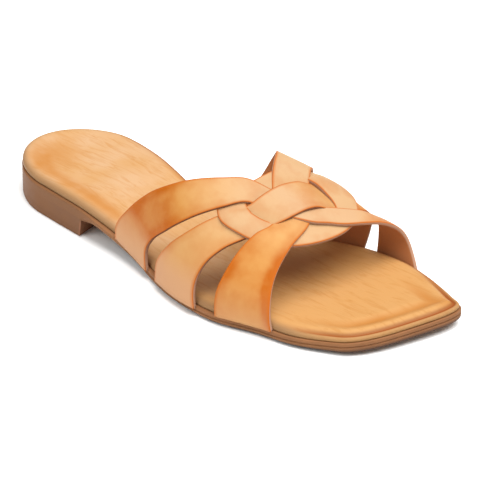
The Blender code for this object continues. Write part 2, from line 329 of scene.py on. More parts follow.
# Vegetable-tanned cowhide, hand burnished and waxed: a smooth grain side with warm clouds,
# dark edges from rubbing, a raw rose-tinted cut and a brown flesh side; painted light on it:
# paler tops, a floor sheen on the lower ends, and painted shade on the cut edges.
strapLook = {
    "grain": "#BC8A4B",
    # pale: painted light, the paler tops of the straps where light falls from above
    "pale": "#B5926C",
    "burnish": "#A55408",
    # painted reflection: the pale rose sheen of the white floor on the straps' lower ends
    "floorSheen": "#BB8D69",
    "rubbedEdge": "#AB5710",
    "cut": "#A67E66",
    # painted shade: a dark line on the cut edges for the shadow in the gaps where straps overlap
    "edgeShade": "#5A2E14",
    "flesh": "#B4764B",
    "cloudMm": 14.0,
    "poreMm": 0.9,  # real pores are about 0.2 mm, drawn coarser so that they show
    "cloudNoise": {"Detail": 3.0, "Roughness": 0.55},
    "warmth": {"From Min": 0.35, "From Max": 0.65, "To Min": -0.2, "To Max": 0.2},
    # parts of the leather, from 0 on the grain over the cut to 2 on the flesh
    "cutParts": {"From Min": 0.18, "From Max": 0.4},
    "fleshParts": {"From Min": 1.0, "From Max": 1.4},
    "dulling": {"From Max": 0.6, "To Min": 0.46, "To Max": 0.85},
    "relief": {"Strength": 0.10, "Distance": 0.0002},
    "surface": {"IOR": 1.45, "Specular IOR Level": 0.11},
}


def makeStrapLeather():
    # grain to pale (painted top light), burnished by its field plus or minus the clouds, then the
    # painted floor sheen of the lower ends, the burnished edge line, the cut, its painted shade
    # and the flesh side laid over in turn
    material, tree, shader = newMaterial("burnished_strap_leather")
    place = put(tree, "ShaderNodeTexCoord")
    fields = {}
    for field in ("burnish", "pale", "floorSheen", "edge", "part", "edgeShade"):
        fields[field] = put(tree, "ShaderNodeAttribute", {"attribute_name": field}), "Fac"
    clouds = put(tree, "ShaderNodeTexNoise",
                 {"Scale": perMetre / strapLook["cloudMm"], **strapLook["cloudNoise"]},
                 {"Vector": (place, "Object")})
    warmth = put(tree, "ShaderNodeMapRange", strapLook["warmth"], {"Value": (clouds, "Fac")})
    heat = put(tree, "ShaderNodeMath", {"operation": "ADD", "use_clamp": True},
               {0: fields["burnish"], 1: (warmth, "Result")})
    cut, flesh, dulling = (
        put(tree, "ShaderNodeMapRange", strapLook[key], {"Value": fields["part"]})
        for key in ("cutParts", "fleshParts", "dulling")
    )
    tones = {"data_type": "RGBA", 6: linear(strapLook["grain"]), 7: linear(strapLook["pale"])}
    colour = put(tree, "ShaderNodeMix", tones, {0: fields["pale"]})
    over = {"burnish": (heat, "Value"), "floorSheen": fields["floorSheen"], "rubbedEdge": fields["edge"],
            "cut": (cut, "Result"), "edgeShade": fields["edgeShade"], "flesh": (flesh, "Result")}
    for tone, share in over.items():
        colour = put(tree, "ShaderNodeMix", {"data_type": "RGBA", 7: linear(strapLook[tone])},
                     {0: share, 6: (colour, 2)})
    pores = put(tree, "ShaderNodeTexVoronoi", {"Scale": perMetre / strapLook["poreMm"]},
                {"Vector": (place, "Object")})
    relief = put(tree, "ShaderNodeBump", strapLook["relief"], {"Height": (pores, "Distance")})
    tree.links.new(dulling.outputs["Result"], shader.inputs["Roughness"])
    finishMaterial(tree, shader, colour, relief, strapLook["surface"])
    return material


# Drum-dyed leather pulled over the insole board: long soft streaks, darker along its edges from
# rubbing, and painted shade in the trough behind the toe's lip
footbedLook = {
    "grain": "#B4895A",
    "pale": "#BA9876",
    "front": "#B6864F",
    "streak": "#A77238",
    # rub along the edges and in patches, and painted shade in the trough behind the toe's lip
    "rubAndTroughShade": "#A97035",
    "side": "#8C6946",
    "groove": "#854312",
    "edgeLine": "#8A4413",
    "streakMm": (17.0, 2.8),  # length, width
    "cloudMm": 22.0,
    "poreMm": 1.111,  # real pores are about 0.2 mm, drawn coarser so that they show
    "streakNoise": {"Scale": 1.0, "Detail": 5.0, "Roughness": 0.6, "Distortion": 1.3},
    "streaked": {"From Min": 0.48, "From Max": 0.72, "To Max": 0.65},
    "paled": {"From Min": 0.4, "From Max": 0.65, "To Max": 0.6},
    "blotched": {"From Min": 0.36, "From Max": 0.62, "To Min": 1.15, "To Max": 0.5},
    "relief": {"Strength": 0.12, "Distance": 0.0003},
    "surface": {"Roughness": 0.52, "IOR": 1.45, "Specular IOR Level": 0.2},
}


def makeFootbedLeather():
    # grain to pale by the clouds, warmer at the front, streaks drawn out along the shoe,
    # then the blotchy rub with the painted shade of the toe trough, the side, the groove and the
    # edge line laid over in turn
    material, tree, shader = newMaterial("footbed_leather_cover")
    place = put(tree, "ShaderNodeTexCoord")
    fields = {}
    for field in ("front", "rubAndTroughShade", "side", "groove", "edgeLine"):
        fields[field] = put(tree, "ShaderNodeAttribute", {"attribute_name": field}), "Fac"
    long, wide = (perMetre / size for size in footbedLook["streakMm"])
    drawnOut = put(tree, "ShaderNodeMapping", {"Scale": (long, wide, wide)},
                   {"Vector": (place, "Object")})
    streaks = put(tree, "ShaderNodeTexNoise", footbedLook["streakNoise"],
                  {"Vector": (drawnOut, "Vector")})
    clouds = put(tree, "ShaderNodeTexNoise",
                 {"Scale": perMetre / footbedLook["cloudMm"], "Detail": 2.0},
                 {"Vector": (place, "Object")})
    streaked, paled, blotched = (
        put(tree, "ShaderNodeMapRange", footbedLook[key], {"Value": (noise, "Fac")})
        for key, noise in (("streaked", streaks), ("paled", clouds), ("blotched", clouds))
    )
    # rub and painted trough shade, made blotchy by the clouds
    rubAndTroughShade = put(tree, "ShaderNodeMath", {"operation": "MULTIPLY", "use_clamp": True},
                 {0: fields["rubAndTroughShade"], 1: (blotched, "Result")})
    tones = {"data_type": "RGBA", 6: linear(footbedLook["grain"]), 7: linear(footbedLook["pale"])}
    colour = put(tree, "ShaderNodeMix", tones, {0: (paled, "Result")})
    over = {"front": fields["front"], "streak": (streaked, "Result"), "rubAndTroughShade": (rubAndTroughShade, "Value"),
            "side": fields["side"], "groove": fields["groove"], "edgeLine": fields["edgeLine"]}
    for tone, share in over.items():
        colour = put(tree, "ShaderNodeMix", {"data_type": "RGBA", 7: linear(footbedLook[tone])},
                     {0: share, 6: (colour, 2)})
    pores = put(tree, "ShaderNodeTexNoise",
                {"Scale": perMetre / footbedLook["poreMm"], "Detail": 3.0},
                {"Vector": (place, "Object")})
    relief = put(tree, "ShaderNodeBump", footbedLook["relief"], {"Height": (pores, "Fac")})
    finishMaterial(tree, shader, colour, relief, footbedLook["surface"])
    return material


# Moulded rubber-and-cork sheet cut to shape and trimmed: a satin brown edge,
# a duller olive-tan tread, and painted shade darkening the bottom of the edge
soleLook = {
    "base": "#8E5F3B",
    "cloudy": "#7F5534",
    # the last colour is painted shade: the bottom of the edge darkened for the shadow under the
    # sole
    "over": {"deep": "#734C2D", "tread": "#916C49", "rim": "#775434", "bevelShade": "#38231A"},
    "cloudMm": 22.0,
    "clouded": {"From Min": 0.35, "From Max": 0.65},
    "gritMm": 1.1,  # real grit is about 0.2 mm, drawn coarser so that it shows
    "gritDetail": 3.0,
    "relief": {"Strength": 0.15, "Distance": 0.0003},
    "surface": {"Roughness": 0.6, "Specular IOR Level": 0.2},
}
# Pressed heel stock with a ground, waxed side: reddish brown, a little lighter where it is cut
heelLook = {
    "base": "#6E4729",
    "cloudy": "#714826",
    "over": {"tread": "#774C30", "breast": "#85563A"},
    "cloudMm": 22.22,
    "clouded": {"From Min": 0.4, "From Max": 0.65},
    "gritMm": 0.714,  # real grit is about 0.2 mm, drawn coarser so that it shows
    "gritDetail": 2.0,
    "relief": {"Strength": 0.12, "Distance": 0.0002},
    "surface": {"Roughness": 0.55, "Specular IOR Level": 0.2},
}


def makeTrimmedStock(name, look):
    # two tones mixed by clouds, then the colour of each field laid over in turn, grit in relief
    material, tree, shader = newMaterial(name)
    place = put(tree, "ShaderNodeTexCoord")
    clouds, grit = (
        put(tree, "ShaderNodeTexNoise", {"Scale": perMetre / size, "Detail": detail},
            {"Vector": (place, "Object")})
        for size, detail in ((look["cloudMm"], 3.0), (look["gritMm"], look["gritDetail"]))
    )
    clouded = put(tree, "ShaderNodeMapRange", look["clouded"], {"Value": (clouds, "Fac")})
    tones = {"data_type": "RGBA", 6: linear(look["base"]), 7: linear(look["cloudy"])}
    colour = put(tree, "ShaderNodeMix", tones, {0: (clouded, "Result")})
    for field, tone in look["over"].items():
        share = put(tree, "ShaderNodeAttribute", {"attribute_name": field})
        colour = put(tree, "ShaderNodeMix", {"data_type": "RGBA", 7: linear(tone)},
                     {0: (share, "Fac"), 6: (colour, 2)})
    relief = put(tree, "ShaderNodeBump", look["relief"], {"Height": (grit, "Fac")})
    finishMaterial(tree, shader, colour, relief, look["surface"])
    return material


# Outsole, floor side first: inset and height of the edge's steps under the seat, the waist,
# the forefoot and the toe
outsole = {
    "seat": np.array([
        (0, 0.0), (0, 0.3), (0, 0.8), (0, 1.4), (0, 1.8), (0, 2.5), (0, 2.7),
        (0, 2.8), (0, 3.1), (0, 3.25), (0, 3.45), (0, 4.4), (0.1, 4.7), (0.4, 4.9)]),
    "waist": np.array([
        (8.0, 0.0), (5.6, 0.6), (3.2, 1.4), (1.2, 2.3), (0.3, 2.9), (0, 3.15), (0, 3.3),
        (0, 3.4), (0, 3.5), (0, 3.6), (0, 3.8), (0, 4.4), (0.1, 4.7), (0.4, 4.9)]),
    "forefoot": np.array([
        (2.8, 0.0), (1.8, 0.35), (1.0, 0.75), (0.4, 1.15), (0.1, 1.5), (0, 2.4), (0.3, 2.65),
        (0.5, 2.8), (0.5, 3.1), (0.3, 3.25), (0, 3.45), (0, 4.4), (0.1, 4.7), (0.4, 4.9)]),
    "toe": np.array([
        (1.0, 0.0), (0.7, 0.15), (0.4, 0.35), (0.2, 0.6), (0, 1.0), (0, 2.4), (0.3, 2.65),
        (0.5, 2.8), (0.5, 3.1), (0.3, 3.25), (0, 3.45), (0, 4.4), (0.1, 4.7), (0.4, 4.9)]),
    "toeFrom": (212.0, 240.0),
    "waistFrom": (67.0, 84.0),
    "waistTo": (92.0, 128.0),
    # where the deep colour of the seat fades, where that of the toe comes, and its strength
    "seatFade": (62.0, 105.0),
    "toeFade": (228.0, 246.0),
    "toeDeep": 0.3,
    "rimMm": (4.5, 6.5),  # width of the tread's darker rim
    "bevelShadeMm": (0.4, 2.1),  # height of the painted shade along the bottom of the edge, and how much higher it is at the waist
    "waistShadeRise": 1.4,
    "sharp": 35.0,
}


def edgeDistance(points):
    # plan distance from each point to the nearest point of the sole's edge
    rim = np.concatenate(soleOutline(soleStations(sole["edgeRows"])))
    return np.sqrt(((points[:, None, :2] - rim[None]) ** 2).sum(axis=2)).min(axis=1)


def makeOutsole(material):
    # the outline filled by a grid and repeated for each step of the edge, moved in and set
    # above the sole's underside by the step's row in the tables
    def profile(x, k, step):
        # seat, then waist, forefoot and toe values of one step
        seat, waist, forefoot, toe = (
            outsole[zone][step, k] for zone in ("seat", "waist", "forefoot", "toe")
        )
        value = seat + (waist - seat) * ramp(x, *outsole["waistFrom"])
        value = value + (forefoot - waist) * ramp(x, *outsole["waistTo"])
        return value + (toe - forefoot) * ramp(x, *outsole["toeFrom"])

    outer, inner = soleOutline(soleStations(sole["rows"]))
    levels = []
    for step in range(len(outsole["seat"])):
        sides = insetSides(outer, inner, lambda x: profile(x, 0, step))
        plan = acrossGrid(*sides, sole["columns"])
        x = plan[..., 0]
        levels.append(withHeight(plan, soleTop(x) - sole["thick"] + profile(x, 1, step)))
    points, faces, _, tread = stackedSolid(levels)
    x = points[:, 0]
    started, ended = (ramp(x, *outsole[key]) for key in ("waistFrom", "waistTo"))
    # painted shade at the bottom of the edge stands higher at the waist
    shadeRise = outsole["waistShadeRise"] * started * (1 - ended)
    height = points[:, 2] - soleTop(x) + sole["thick"]
    toeDeep = outsole["toeDeep"] * ramp(x, *outsole["toeFade"])
    fields = {
        "deep": 1 - ramp(x, *outsole["seatFade"]) + toeDeep,
        "tread": tread,
        "rim": tread * (1 - ramp(edgeDistance(points), *outsole["rimMm"])),
        # painted shade along the bottom of the edge, from the waist forward
        "bevelShade": (1 - ramp(height - shadeRise, *outsole["bevelShadeMm"])) * (1 - tread) * started,
    }
    piece = makePiece("outsole_sheet", points, faces, material, fields, outsole["sharp"])
    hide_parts("outsole")


# Heel block: inset, share of the height, floor side first
heelBlock = {
    "edge": np.array([
        (0.6, 0.00),
        (0.2, 0.03),
        (0.0, 0.10),
        (0.0, 0.55),
        (0.0, 1.00),
    ]),
    "breastOuter": 66.5,
    "breastInner": 68.5,
    "lean": 1.8,  # how much further forward the breast is at the top
    "hollow": 4.5,  # depth of the breast's curve, and how fast it grows along the block
    "hollowPower": 4,
    "rows": 70,
    "columns": 30,
    "gap": 0.02,
    "sharp": 35.0,
}


def makeHeel(material):
    # the sole's outline up to the breast, filled by a grid for each step of the height,
    # its rows bent back by a parabola across that grows with a power of the share along
    share = 1 - np.cos(np.linspace(0, np.pi / 2, heelBlock["rows"] + 1))
    across = 2 * cosineSteps(heelBlock["columns"]) - 1
    bend = heelBlock["hollow"] * share[:, None] ** heelBlock["hollowPower"] * (1 - across**2)
    levels = []
    for inset, height in heelBlock["edge"]:
        ahead = heelBlock["lean"] * height - inset
        outer = soleOutline(share * (heelBlock["breastOuter"] + ahead))[0]
        inner = soleOutline(share * (heelBlock["breastInner"] + ahead))[1]
        sides = insetSides(outer, inner, lambda x: inset + 0 * x)
        plan = acrossGrid(*sides, heelBlock["columns"])
        plan[..., 0] -= bend
        underSole = soleTop(plan[..., 0]) - sole["thick"] - heelBlock["gap"]
        levels.append(withHeight(plan, underSole * height))
    points, faces, _, tread = stackedSolid(levels)
    front = border(*levels[0].shape[:2])[0] == heelBlock["rows"]
    flats = np.zeros(2 * levels[0][..., 0].size)
    breast = np.concatenate([flats, np.tile(front * 1.0, len(levels) - 2)])
    fields = {"tread": tread, "breast": breast}
    piece = makePiece("heel_stack", points, faces, material, fields, heelBlock["sharp"])
    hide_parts("heel")


# Footbed: a covered board that stands in from the sole's edge
footbed = {
    "gap": 0.08,
    # along, inset of the outer edge, inset of the inner edge
    "stand": np.array([
        (-5.0, 0.1, 0.1),
        (3.0, 0.1, 0.1),
        (12.0, 0.4, 0.2),
        (24.0, 1.2, 0.5),
        (40.0, 1.6, 0.8),
        (60.0, 1.3, 0.8),
        (88.0, 2.3, 1.6),
        (125.0, 1.9, 2.4),
        (160.0, 1.5, 1.4),
        (175.0, 1.5, 0.3),
        (190.0, 1.5, -0.5),
        (214.0, 1.0, -0.7),
        (226.0, 0.9, -0.7),
        (238.0, 1.0, 0.2),
        (244.0, 1.0, 0.8),
        (248.0, 1.0, 1.0),
        (252.0, 1.0, 1.0),
        (260.0, 1.0, 1.0),
    ]),
    # inset and height, sole side first: tight roll of the back and the inner side,
    # broad roll of the outer side, lip, groove and ridge of the toe
    "tight": np.array([
        (0.3, 0), (0, 0.5), (0, 1.6), (0.3, 2.5), (0.9, 3.1),
        (1.6, 3.4), (2.5, 3.5), (3.8, 3.6), (5.5, 3.6)]),
    "broad": np.array([
        (0.3, 0), (0, 0.4), (0, 1.0), (0.4, 1.8), (1.2, 2.5),
        (2.2, 2.95), (3.4, 3.3), (4.8, 3.5), (6.5, 3.6)]),
    "lipped": np.array([
        (0.3, 0), (0, 0.4), (0, 1.3), (0.4, 1.9), (1.3, 2.1),
        (2.1, 1.55), (3.0, 1.7), (4.2, 2.9), (6.0, 3.6)]),
    "broadFrom": (3.0, 28.0),
    "steps": 33,
    # where the lip starts and is full on the outer side, and how much later on the inner side
    "lip": (200.0, 226.0),
    "lipLater": (10.0, 17.0),
    # raised inner edge at the ball: middle, half length, height, share across where it starts
    "raised": (204.0, 34.0, 1.0, 0.3),
    # seat hollow: depth, width of the cover where it is full, where it fades
    "hollow": 0.8,
    "hollowWide": 55.0,
    "hollowFade": (40.0, 110.0),
    "trough": (12.5, 5.0, 1.05),  # in from the edge of the toe, half width, depth
    "rows": 220,
    "sharp": 75.0,
}
# Wear of the cover, and painted shade in the trough behind the toe's lip
footbedWearAndShade = {
    "outerFrom": (-2.0, 16.0),  # outwards from the shoe's line
    # strength, in from the edge, half width, where it comes along the shoe
    "outerBand": (0.9, 9.0, 6.5, (2.0, 22.0)),
    "innerBand": (0.6, 4.0, 2.6, (30.0, 70.0)),
    "bandsEnd": (80.0, 115.0),
    # painted shade in the toe trough: strength, in from the edge, half width
    "troughShade": (0.95, 12.0, 5.0),
    # strength, along, across, radius
    "heelPatch": (0.6, 16.0, -12.0, 26.0),
    "cornerPatch": (0.8, 247.0, 24.0, 11.0),
    # steps of the edge tables: where the top starts, the side ends and the groove lies
    "topFrom": 4.5,
    "sideEnds": (3.0, 7.2),
    "sideAtToe": 0.5,
    "groove": (5.4, 2.1),
    # strength, step, half width, where it comes along the shoe
    "edgeLine": (0.8, 4.0, 2.4, (12.0, 50.0)),
    "front": 0.9,
    "frontFrom": (120.0, 190.0),
}


def toeShare(x, outerShare):
    # 0 behind the lip, 1 where it is full, later towards the inner side
    later = 1 - outerShare
    start, full = (at + more * later for at, more in zip(footbed["lip"], footbed["lipLater"]))
    return ramp(x, start, full)


def footbedFields(points, away, step, toe):
    # bands at a distance from the edge and round patches for the rub, a band of painted
    # shade in the toe trough, steps of the edge for the side, the groove and the edge line
    x, y = points[:, 0], points[:, 1]
    outerSide = ramp(-y, *footbedWearAndShade["outerFrom"])
    rubAndTroughShade = 0
    for key, share in (("outerBand", outerSide), ("innerBand", 1 - outerSide)):
        strength, middle, half, comes = footbedWearAndShade[key]
        rubAndTroughShade = rubAndTroughShade + strength * bump(away, middle, half) * share * ramp(x, *comes)
    patches = []
    for key in ("heelPatch", "cornerPatch"):
        strength, along, across, radius = footbedWearAndShade[key]
        patches.append(strength * bump(np.hypot(x - along, y - across), 0, radius))
    rubAndTroughShade = (rubAndTroughShade + patches[0]) * (1 - ramp(x, *footbedWearAndShade["bandsEnd"])) + patches[1]
    # painted shade in the trough behind the toe's lip, laid in with the rub
    strength, middle, half = footbedWearAndShade["troughShade"]
    rubAndTroughShade = rubAndTroughShade + strength * toe * bump(away, middle, half)
    strength, middle, half, comes = footbedWearAndShade["edgeLine"]
    edgeLine = strength * bump(step, middle, half) * ramp(x, *comes)
    return {
        "rubAndTroughShade": np.clip(rubAndTroughShade, 0, 1) * (step > footbedWearAndShade["topFrom"]),
        "side": (1 - ramp(step, *footbedWearAndShade["sideEnds"])) * (1 - footbedWearAndShade["sideAtToe"] * toe),
        "groove": toe * bump(step, *footbedWearAndShade["groove"]),
        "edgeLine": edgeLine * (1 - outerSide) * (1 - toe),
        "front": footbedWearAndShade["front"] * ramp(x, *footbedWearAndShade["frontFrom"]),
    }


def makeFootbed(material):
    # the outline moved in by the stand table, filled by a grid and repeated for each step
    # of the rolled edge, then a hollow at the seat and a trough behind the lip
    def profile(x, k, step, outerShare):
        # inset or height of one step: tight roll, broad on the outer side, lipped at the toe
        tight, broad, lipped = (
            np.interp(step, np.arange(len(footbed[key])), footbed[key][:, k])
            for key in ("tight", "broad", "lipped")
        )
        roll = tight + (broad - tight) * outerShare * ramp(x, *footbed["broadFrom"])
        return roll + (lipped - roll) * toeShare(x, outerShare)

    def inset(x, k, step, outerShare):
        # how far the cover stands in from the sole's edge, plus the roll of this step
        stand = curveThrough(footbed["stand"][:, 0], footbed["stand"][:, k], x)
        return stand + profile(x, 0, step, outerShare)

    outer, inner = soleOutline(soleStations(footbed["rows"]))
    across = 2 * cosineSteps(sole["columns"]) - 1
    steps = np.linspace(0, len(footbed["tight"]) - 1, footbed["steps"])
    middle, half, high, raisedFrom = footbed["raised"]
    levels = []
    for step in steps:
        sides = insetSides(
            outer, inner, lambda x: inset(x, 1, step, 1), lambda x: inset(x, 2, step, 0))
        plan = acrossGrid(*sides, sole["columns"])
        x = plan[..., 0]
        height = soleTop(x) + footbed["gap"] + profile(x, 1, step, (1 - across) / 2)
        raised = high * bump(x, middle, half) * ramp(across, raisedFrom, 1)
        levels.append(withHeight(plan, height + raised * step / steps[-1]))
    top = levels[-1]
    wide = np.linalg.norm(top[:, -1] - top[:, 0], axis=1)[:, None]
    hollow = footbed["hollow"] * (1 - across**2) * ramp(wide, 0, footbed["hollowWide"])
    top[..., 2] -= hollow * (1 - ramp(top[..., 0], *footbed["hollowFade"]))
    points, faces, level, _ = stackedSolid(levels)
    away = edgeDistance(points)
    outerEdge, innerEdge = soleSides(np.clip(points[:, 0], 0, sole["length"]))
    outerShare = np.clip((innerEdge - points[:, 1]) / (innerEdge - outerEdge), 0, 1)
    toe = toeShare(points[:, 0], outerShare)
    middle, half, deep = footbed["trough"]
    points[:, 2] -= (level == 1) * toe * deep * bump(away, middle, half)
    fields = footbedFields(points, away, level * steps[-1], toe)
    piece = makePiece("footbed_cover", points, faces, material, fields, footbed["sharp"])
    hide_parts("footbed")


# The form that the straps lie on
last = {
    # along, height of its ridge above the sole, shift of the ridge inwards
    "instep": np.array([
        (85.0, 63.0, 8.0),
        (125.0, 59.5, 8.5),
        (165.0, 41.3, 10.0),
        (215.0, 17.0, 13.0),
    ]),
    "power": 2.4,
    "ridgePower": 1.5,
    "reachPower": 20,
    # along, inset from the outer edge, from the inner edge,
    # reach of the outer ends below the sole's top
    "stand": np.array([
        (80.0, 1.8, 2.2, 0.0),
        (93.0, 1.7, 2.2, 0.0),
        (120.0, 0.7, 2.0, 0.7),
        (129.0, 0.8, 1.8, 0.8),
        (160.0, 0.5, 0.8, 1.0),
        (172.0, 1.3, 0.2, 0.5),
        (190.0, 1.3, -0.7, 0.4),
        (215.0, 1.3, -0.8, 0.4),
        (226.0, 1.3, -0.2, 0.4),
    ]),
    "arcSteps": 160,
    "span": (80.0, 226.0),
    "step": 0.5,
    "shares": 321,
    "endAngle": 1e-6,  # radians that the arch stops short of its feet
    "inside": 1.001,  # keeps a reading within the table's last cell
}


def lastPoint(along, angle):
    # a superellipse arch from edge to edge whose top leans to the inner side,
    # its outer foot carried down
    outer, inner = sidesAt(along)
    inOuter, inInner, reach = (
        curveThrough(last["stand"][:, 0], last["stand"][:, k], along) for k in (1, 2, 3)
    )
    ridge, lean = (
        curveThrough(last["instep"][:, 0], last["instep"][:, k], along) for k in (1, 2)
    )
    outer, inner = outer + inOuter, inner - inInner
    swing, stand = np.sin(angle), np.cos(angle)
    spread = np.sign(swing) * np.abs(swing) ** (2 / last["power"])
    y = (inner + outer) / 2 + (inner - outer) / 2 * spread + lean * stand ** last["ridgePower"]
    height = ridge * stand ** (2 / last["power"])
    height = height - reach * (swing < 0) * np.abs(swing) ** last["reachPower"]
    return np.stack([along + 0 * y, y, soleTop(along) + sole["gap"] + height], axis=-1)


def makeLastTable():
    # the form's points and outward normals on a grid: along the shoe, and by share of the arc
    # from the ridge down to each side (-1 outer edge, 0 ridge, 1 inner edge)
    along = np.arange(*last["span"], last["step"])
    widest = np.pi / 2 - last["endAngle"]
    angle = np.linspace(-widest, widest, 2 * last["arcSteps"] + 1)
    points = lastPoint(along[:, None] + 0 * angle, angle + 0 * along[:, None])
    steps = np.linalg.norm(np.diff(points, axis=1), axis=2)
    arc = np.concatenate([0 * steps[:, :1], np.cumsum(steps, axis=1)], axis=1)
    arc -= arc[:, last["arcSteps"], None]
    reach = np.abs(arc[:, [0, -1]])
    share = np.linspace(-1, 1, last["shares"])
    at = np.where(share < 0, share * reach[:, :1], share * reach[:, 1:])
    grid = np.stack(
        [[np.interp(*row) for row in zip(at, arc, points[..., k])] for k in range(3)], axis=-1)
    normal = np.cross(np.gradient(grid, axis=0), np.gradient(grid, axis=1))
    return reach, grid, normal / np.linalg.norm(normal, axis=2)[..., None]


def sideReach(along, inner):
    # arc length from the ridge to the chosen side
    stations = np.arange(*last["span"], last["step"])
    outerReach, innerReach = (np.interp(along, stations, column) for column in lastReach.T)
    return np.where(inner, innerReach, outerReach)


def laid(along, across, lift):
    # points a lift above the form along its normal, read from the table between its four
    # nearest points
    share = np.clip(across / sideReach(along, across > 0), -1, 1)
    u = np.clip((along - last["span"][0]) / last["step"], 0, len(lastGrid) - last["inside"])
    v = np.clip((share + 1) / 2 * (last["shares"] - 1), 0, last["shares"] - last["inside"])
    i, j = u.astype(int), v.astype(int)
    u, v = (u - i)[..., None], (v - j)[..., None]
    spots = []
    for table in (lastGrid, lastNormal):
        behind = (1 - v) * table[i, j] + v * table[i, j + 1]
        ahead = (1 - v) * table[i + 1, j] + v * table[i + 1, j + 1]
        spots.append((1 - u) * behind + u * ahead)
    return spots[0] + lift[..., None] * spots[1]


lastReach, lastGrid, lastNormal = makeLastTable()
print("form under the straps ready:", lastGrid.shape[:2])

